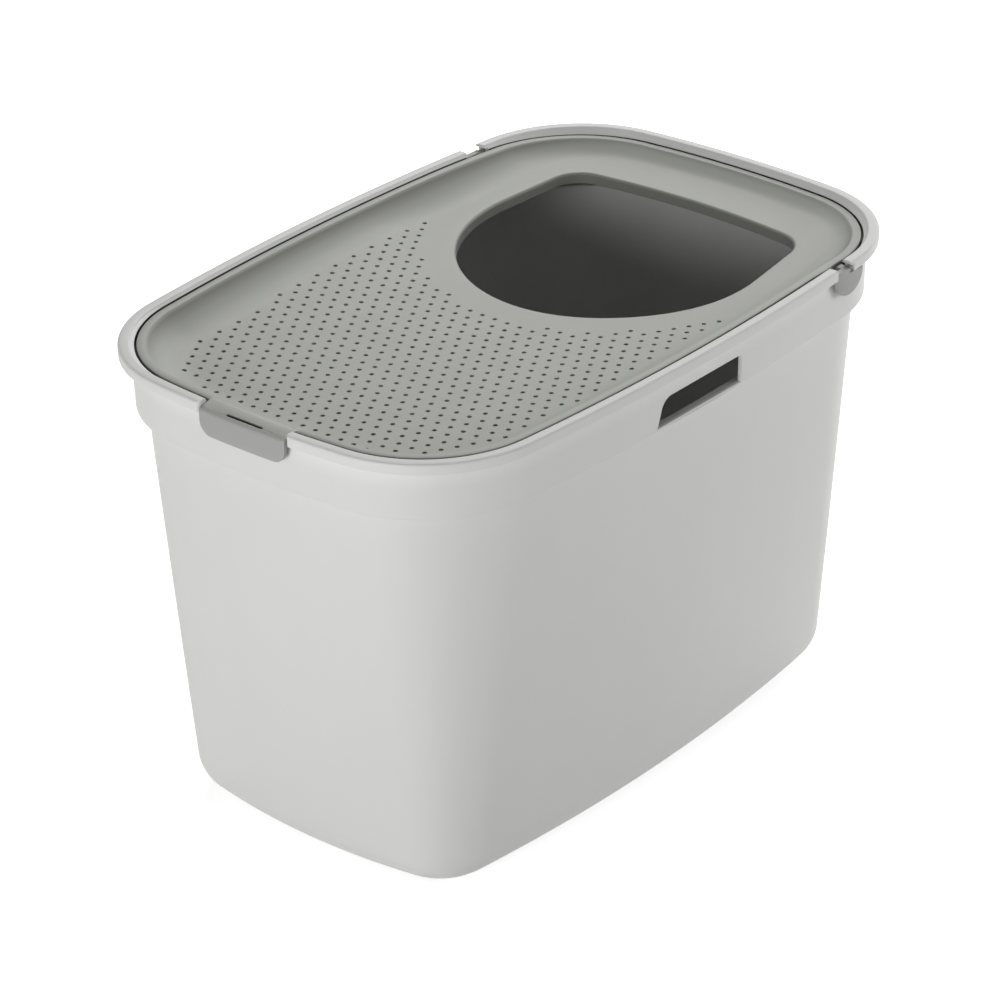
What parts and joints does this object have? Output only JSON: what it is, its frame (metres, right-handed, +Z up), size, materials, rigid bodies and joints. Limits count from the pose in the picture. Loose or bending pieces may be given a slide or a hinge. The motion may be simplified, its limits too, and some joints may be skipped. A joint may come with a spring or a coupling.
{
  "type": "top entry litter box",
  "caption": "Tall litter tub with a hinged, perforated lid that has a large entry hole, and a latch flap at the front.",
  "frame": {"origin": "centre of the tub's foot, on the floor", "axes": "+Z up, +X along the tub towards the entry hole, so the latch is at -X"},
  "size_m": [0.594, 0.392, 0.386],
  "materials": {
    "tub_plastic": "satin",
    "lid_plastic": "satin"
  },
  "bodies": {
    "tub": {"tub": "tub_plastic"},
    "lid": {"lid": "lid_plastic", "vent_panel": "lid_plastic", "entry_panel": "lid_plastic", "ear_left": "lid_plastic", "ear_right": "lid_plastic"},
    "latch": {"latch_flap": "lid_plastic"}
  },
  "joints": [
    {"name": "lid_hinge", "type": "hinge", "parent": "tub", "child": "lid", "pos_m": [0.183, 0, 0.3765], "axis": [0, 1, 0], "range_deg": [0, 90]},
    {"name": "latch_flex", "type": "hinge", "parent": "lid", "child": "latch", "pos_m": [-0.294, 0, 0.3809], "axis": [0, 1, 0], "range_deg": [0, 12], "stiffness_Nm_per_rad": 0.4}
  ]
}
